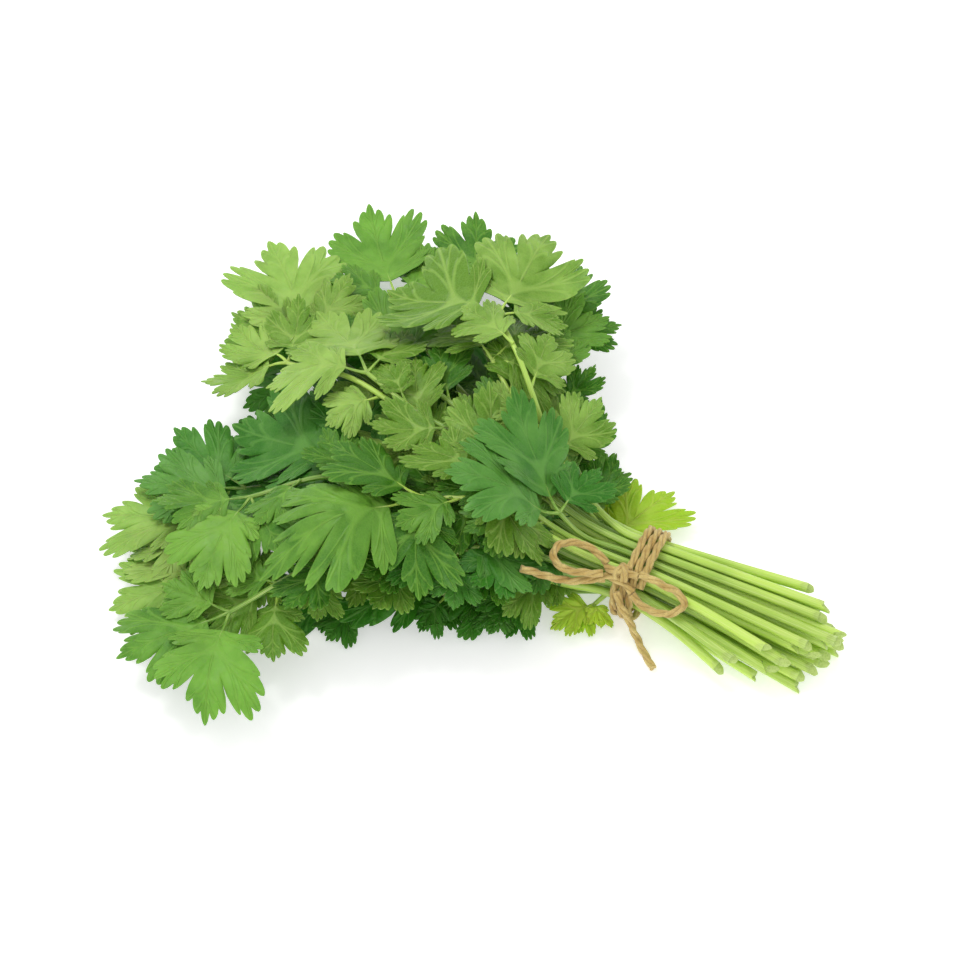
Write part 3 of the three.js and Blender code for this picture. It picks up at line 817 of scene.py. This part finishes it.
def vein_mask(tree):
    """1 on a leaflet's veins, and the share of the way from the midrib to the edge. One vein runs up
    the middle of each lobe, and its branches end in the teeth."""
    share = add(tree, "SeparateXYZ", {0: add(tree, "UVMap").outputs[0]}).outputs[0]
    off = add(tree, "Attribute", attribute_name="off_vein").outputs["Fac"]
    lobe = add(tree, "Math", {0: share, 1: USUAL_LOBE}, operation="MULTIPLY").outputs[0]
    veins = None
    for leaves_at, ends_at, width, strength in VEINS:
        route = add(tree, "MapRange", {0: share, 1: leaves_at, 2: 1.0, 3: 0.0, 4: ends_at}).outputs[0]
        away = add(tree, "Math", {0: off, 1: route}, operation="SUBTRACT").outputs[0]
        size = add(tree, "Math", {0: away}, operation="ABSOLUTE").outputs[0]
        away_mm = add(tree, "Math", {0: size, 1: lobe}, operation="MULTIPLY").outputs[0]
        fade = {0: away_mm, 1: VEIN_CORE, 2: width, 3: strength, 4: 0.0}
        vein = add(tree, "MapRange", fade).outputs[0]
        veins = add(tree, "Math", {0: veins or vein, 1: vein}, operation="MAXIMUM").outputs[0]
    return veins, share


def mottled(tree, patch, detail, weight, dark, light):
    """Two greens in soft patches. The piece's own tone, times that weight, shifts it to one of them."""
    place = add(tree, "TexCoord").outputs["Object"]
    noise = {"Vector": place, "Scale": scale_of(patch), "Detail": detail}
    patches = add(tree, "TexNoise", noise).outputs[0]
    tone = add(tree, "Attribute", attribute_name="tone").outputs["Fac"]
    own = add(tree, "Math", {0: tone, 1: weight}, operation="MULTIPLY").outputs[0]
    shifted = add(tree, "Math", {0: patches, 1: own}, operation="ADD").outputs[0]
    amount = add(tree, "MapRange", {0: shifted, 1: 0.2, 2: 0.8}).outputs[0]
    greens = {0: amount, 6: linear(dark), 7: linear(light)}
    return add(tree, "Mix", greens, data_type="RGBA").outputs[2]


def leaf_nodes(deep, pale, vein, relief):
    """A living leaf: mottled green that is deeper where its tone is low, as painted shade makes it near the
    tie, paler veins with a fine net between them, and a thin paler rim. With a relief over 0 the veins stand
    out, and under 0 they are sunk."""
    def build(tree):
        place = add(tree, "TexCoord").outputs["Object"]
        veins, share = vein_mask(tree)
        green = mottled(tree, LEAF_PATCH, 3.0, 0.25, deep, pale)
        meshes = {"Vector": place, "Scale": scale_of(LEAF_NET)}
        cells = add(tree, "TexVoronoi", meshes, feature="DISTANCE_TO_EDGE").outputs["Distance"]
        net = add(tree, "MapRange", {0: cells, 1: 0.0, 2: 0.12, 3: 0.2, 4: 0.0}).outputs[0]
        netted = add(tree, "Mix", {0: net, 6: green, 7: linear(vein)}, data_type="RGBA").outputs[2]
        edge = add(tree, "MapRange", {0: share, 1: 0.9, 2: 1.0, 3: 0.0, 4: 0.3}).outputs[0]
        rimmed = add(tree, "Mix", {0: edge, 6: netted, 7: linear(vein)}, data_type="RGBA").outputs[2]
        strength = add(tree, "Math", {0: veins, 1: 0.6}, operation="MULTIPLY").outputs[0]
        veined = add(tree, "Mix", {0: strength, 6: rimmed, 7: linear(vein)}, data_type="RGBA").outputs[2]
        raised = add(tree, "Math", {0: veins, 1: relief}, operation="MULTIPLY").outputs[0]
        grain = {"Vector": place, "Scale": scale_of(LEAF_PORE), "Detail": 4.0}
        pores = add(tree, "TexNoise", grain).outputs[0]
        height = add(tree, "Math", {0: raised, 1: pores}, operation="ADD").outputs[0]
        bump = add(tree, "Bump", {"Height": height, "Strength": 0.9, "Distance": 0.5 * MM}).outputs[0]
        rough = add(tree, "MapRange", {0: pores, 1: 0.3, 2: 0.7, 3: 0.4, 4: 0.62}).outputs[0]
        return {"Base Color": veined, "Normal": bump, "Roughness": rough}
    return build


def stalk_nodes(dull, bright, streak, cut_side=None):
    """A juicy stalk: each has its own green, with fine paler streaks along it and a soft gloss.
    It pales to the colour cut_side beyond the tie, where it grew in the shade."""
    def build(tree):
        uv = add(tree, "UVMap").outputs[0]
        along = add(tree, "Mapping", {"Vector": uv, "Scale": STALK_STREAKS}).outputs[0]
        streaks = add(tree, "TexNoise", {"Vector": along, "Scale": 1.0, "Detail": 3.0}).outputs[0]
        green = mottled(tree, STEM_PATCH, 2.0, 0.6, dull, bright)
        if cut_side:
            x = add(tree, "SeparateXYZ", {0: add(tree, "TexCoord").outputs["Object"]}).outputs[0]
            start, end = SHADED
            pale = {0: x, 1: start * MM, 2: end * MM, 3: 0.0, 4: 0.55}
            shaded = add(tree, "MapRange", pale).outputs[0]
            sides = {0: shaded, 6: green, 7: linear(cut_side)}
            green = add(tree, "Mix", sides, data_type="RGBA").outputs[2]
        strength = add(tree, "MapRange", {0: streaks, 1: 0.45, 2: 0.7, 3: 0.0, 4: 0.7}).outputs[0]
        streaked = add(tree, "Mix", {0: strength, 6: green, 7: linear(streak)}, data_type="RGBA").outputs[2]
        bump = add(tree, "Bump", {"Height": streaks, "Strength": 0.4, "Distance": 0.2 * MM}).outputs[0]
        return {"Base Color": streaked, "Normal": bump}
    return build


def cut_nodes(tree):
    """The wet inside of a cut stalk: pale green, with the ends of its strings showing."""
    place = add(tree, "TexCoord").outputs["Object"]
    strings = add(tree, "TexVoronoi", {"Vector": place, "Scale": scale_of(CUT_STRING)}).outputs["Distance"]
    green = add(tree, "Mix", {0: strings, 6: linear("#cbe084"), 7: linear("#a2c052")}, data_type="RGBA")
    bump = add(tree, "Bump", {"Height": strings, "Strength": 0.5, "Distance": 0.2 * MM})
    return {"Base Color": green.outputs[2], "Normal": bump.outputs[0]}


def jute_nodes(tree):
    """Jute: straw-coloured fibres laid at a slant along each ply, with painted shade darkening the gaps
    between them.
    """
    uv = add(tree, "UVMap").outputs[0]
    place = add(tree, "TexCoord").outputs["Object"]
    along = {"Vector": uv, "Rotation": (0.0, 0.0, JUTE_SLANT), "Scale": JUTE_FIBRES}
    slant = add(tree, "Mapping", along).outputs[0]
    grain = {"Vector": slant, "Scale": 2.0, "Detail": 5.0, "Roughness": 0.7}
    fibres = add(tree, "TexNoise", grain).outputs[0]
    noise = {"Vector": place, "Scale": scale_of(JUTE_PATCH), "Detail": 2.0}
    patches = add(tree, "TexNoise", noise).outputs[0]
    amount = add(tree, "MapRange", {0: patches, 1: 0.3, 2: 0.7}).outputs[0]
    straw = {0: amount, 6: linear("#c2a056"), 7: linear("#e4ce84")}
    base = add(tree, "Mix", straw, data_type="RGBA").outputs[2]
    # Painted shade: where the fibres' bump is low, between them, the straw is mixed towards a dark brown.
    painted_gap_shade = add(tree, "MapRange", {0: fibres, 1: 0.32, 2: 0.55, 3: 0.6, 4: 0.0}).outputs[0]
    lined = add(tree, "Mix", {0: painted_gap_shade, 6: base, 7: linear("#876b34")}, data_type="RGBA").outputs[2]
    bump = add(tree, "Bump", {"Height": fibres, "Strength": 0.9, "Distance": 0.3 * MM}).outputs[0]
    return {"Base Color": lined, "Normal": bump}


def plain_floor():
    """A smooth white studio sheet under the bunch, lit through a little from below, so that shadows
    on it are light. It isn't part of the bunch."""
    white = {"Base Color": linear("#f4f4f4"), "Roughness": 0.8}
    glow = {"Emission Color": linear("#ffffff"), "Emission Strength": 0.4}
    material = finish("studio_white", lambda tree: {}, {**white, **glow})
    bm = bmesh.new()
    bmesh.ops.create_grid(bm, x_segments=1, y_segments=1, size=FLOOR)
    mesh = bpy.data.meshes.new("floor")
    bm.to_mesh(mesh)
    bm.free()
    mesh.materials.append(material)
    floor = bpy.data.objects.new("floor", mesh)
    bpy.context.collection.objects.link(floor)


GREENS = {  # the deep and pale of a tone's leaves, and their veins
    "lime": ("#90b614", "#a4c820", "#c2da58"),
    "light": ("#2d5d09", "#5c8819", "#9ec25c"),
    "fresh": ("#164208", "#38700c", "#7aac3e"),
    "deep": ("#104008", "#2e700e", "#689f44"),
}


def make_finishes():
    """A tone's leaves have an upper face, an underside and main veins. The stems have their cut."""
    stem = stalk_nodes("#5c921a", "#b4da56", "#dcec94", cut_side="#d2ee6a")
    finishes = {
        "stem": finish("coriander_stem", stem, {"Roughness": 0.3, **STEM_GLOW}),
        "cut": finish("cut_stalk", cut_nodes, {"Roughness": 0.3}),
    }
    for tone, (deep, pale, vein) in GREENS.items():
        upper = leaf_nodes(deep, pale, vein, -0.8)
        under = leaf_nodes(pale, vein, vein, 0.8)
        veins = stalk_nodes(pale, vein, vein)
        finishes[tone] = [
            finish(f"coriander_leaf_{tone}", upper, {**LEAF_GLOW, **LEAF_GLOSS}),
            finish(f"coriander_underside_{tone}", under, {**LEAF_GLOW, **LEAF_GLOSS}),
            finish(f"coriander_veins_{tone}", veins, {"Roughness": 0.45, **LEAF_GLOW}),
        ]
    return finishes


# ---------------------------------------------------------------- the bunch

make_camera()
twine = finish("jute_twine", jute_nodes, {"Roughness": 0.9, "Sheen Weight": 0.25})
make_bow(twine)
turns = [wrap_route(turn) for turn in range(WRAP["turns"])]
twine_piece("twine_wrap", turns + knot_routes(), twine, fuzz_seed=20)

finishes = make_finishes()
number = 0
for row, plans in enumerate(ROWS):
    for column, plan in enumerate(plans):
        number += 1
        make_leafy_stem(number, row, column, len(plans), plan, finishes)

plain_floor()
for name, (place, size, power) in LIGHTS.items():
    make_light(name, place, size, power)
world = bpy.data.worlds.new("studio")
world.use_nodes = True
world.node_tree.nodes["Background"].inputs["Color"].default_value = (1, 1, 1, 1)
world.node_tree.nodes["Background"].inputs["Strength"].default_value = SKY
bpy.context.scene.world = world
bpy.context.scene.view_settings.view_transform = "Standard"
